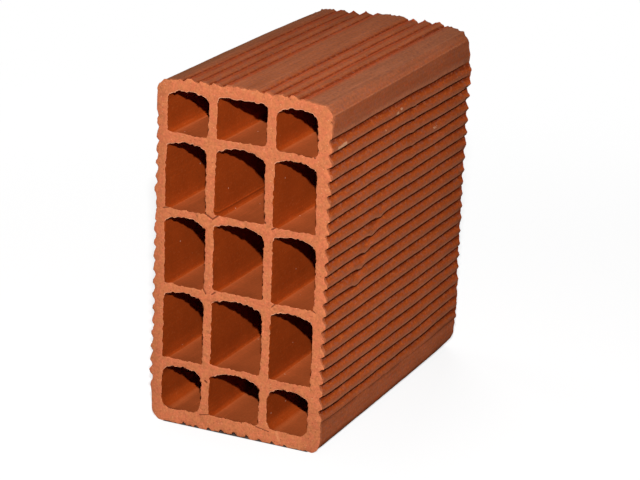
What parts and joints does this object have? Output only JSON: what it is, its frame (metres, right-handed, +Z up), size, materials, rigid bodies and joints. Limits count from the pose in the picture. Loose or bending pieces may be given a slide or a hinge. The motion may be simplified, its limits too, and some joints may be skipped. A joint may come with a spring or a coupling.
{
  "type": "hollow clay brick",
  "caption": "Hollow fired-clay partition brick with rows of through cells running front to back, thin webs, and combed ribs on its sides, top and underside.",
  "frame": {"origin": "on the floor, at the middle of the brick's bounding box", "axes": "+Z up, along the brick's height and its five rows of cells; +Y along the cells, from the front cut face to the back one; +X across the three columns of cells"},
  "size_m": [0.132, 0.24, 0.25],
  "materials": {
    "clay": "fired unglazed clay, matt; orange where wire-cut, browner on the extruded faces"
  },
  "bodies": {
    "root": {"brick": "clay"}
  },
  "joints": []
}
